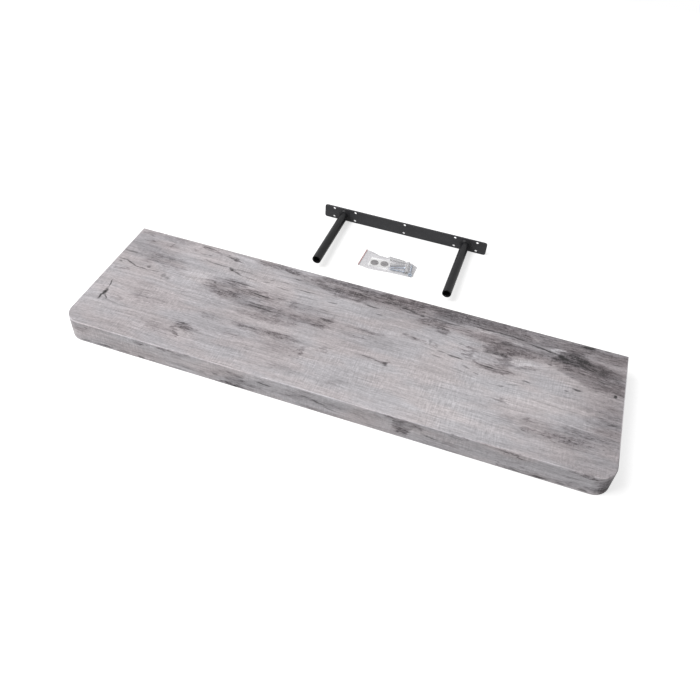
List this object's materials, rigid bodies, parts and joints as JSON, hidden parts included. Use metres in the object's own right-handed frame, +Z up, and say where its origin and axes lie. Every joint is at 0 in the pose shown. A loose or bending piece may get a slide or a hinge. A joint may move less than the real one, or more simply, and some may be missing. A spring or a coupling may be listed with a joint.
{
  "type": "floating wall shelf",
  "caption": "Rounded-corner floating shelf board in grey wood decor, with its welded tube wall bracket and a bag of fittings laid out beside it.",
  "frame": {"origin": "middle of the whole layout, board and bracket together, on the surface that they lie on", "axes": "+X along the board's length, +Y from the board's front to its rear and on to the bracket and the wall, +Z up"},
  "size_m": [0.8, 0.4418, 0.038],
  "materials": {
    "decor": "printed grey weathered-wood decor foil, matt with fine grain",
    "fibreboard": "raw fibreboard",
    "paper_core": "kraft paper honeycomb",
    "black_steel": "black satin powder coat",
    "zinc_steel": "bright zinc plating",
    "clear_film": "clear thin polyethylene film",
    "zip_red": "red zip line",
    "card": "white backing sheet",
    "disc_decor": "grey decor, matt",
    "plug_nylon": "white moulded nylon"
  },
  "bodies": {
    "board": {"top_foil": "decor", "bottom_foil": "decor", "edge_band": "decor", "top_skin": "fibreboard", "bottom_skin": "fibreboard", "front_rail": "fibreboard", "rear_rail": "fibreboard", "left_end_rail": "fibreboard", "right_end_rail": "fibreboard", "tube_block_left": "fibreboard", "tube_block_right": "fibreboard", "honeycomb_left": "paper_core", "honeycomb_middle": "paper_core", "honeycomb_right": "paper_core", "insert_nut_left": "zinc_steel", "insert_nut_right": "zinc_steel"},
    "bracket": {"wall_plate": "black_steel", "support_tube_left": "black_steel", "support_tube_right": "black_steel", "weld_bead_left": "black_steel", "weld_bead_right": "black_steel"},
    "locking_screw_left": {"locking_screw_left": "zinc_steel"},
    "locking_screw_right": {"locking_screw_right": "zinc_steel"},
    "fittings_bag": {"bag_lower_film": "clear_film", "bag_upper_film": "clear_film", "bag_zip": "zip_red", "cover_disc_sheet": "card", "cover_discs": "disc_decor", "wall_screws": "zinc_steel", "wall_plugs": "plug_nylon"}
  },
  "joints": [
    {"name": "bracket_slide", "type": "slide", "parent": "board", "child": "bracket", "axis": [0, -0.9995, 0.0314], "range_m": [0, 0.20694]},
    {"name": "locking_screw_left_travel", "type": "slide", "parent": "board", "child": "locking_screw_left", "axis": [0, 0, 1], "range_m": [0, 0.0028]},
    {"name": "locking_screw_right_travel", "type": "slide", "parent": "board", "child": "locking_screw_right", "axis": [0, 0, 1], "range_m": [0, 0.0028]},
    {"name": "bag_lift", "type": "slide", "parent": "board", "child": "fittings_bag", "axis": [0, 0, 1], "range_m": [0, 0.105]}
  ],
  "couplings": [
    {"joint": "bag_lift", "follows": "bracket_slide", "ratio": 0.5}
  ]
}
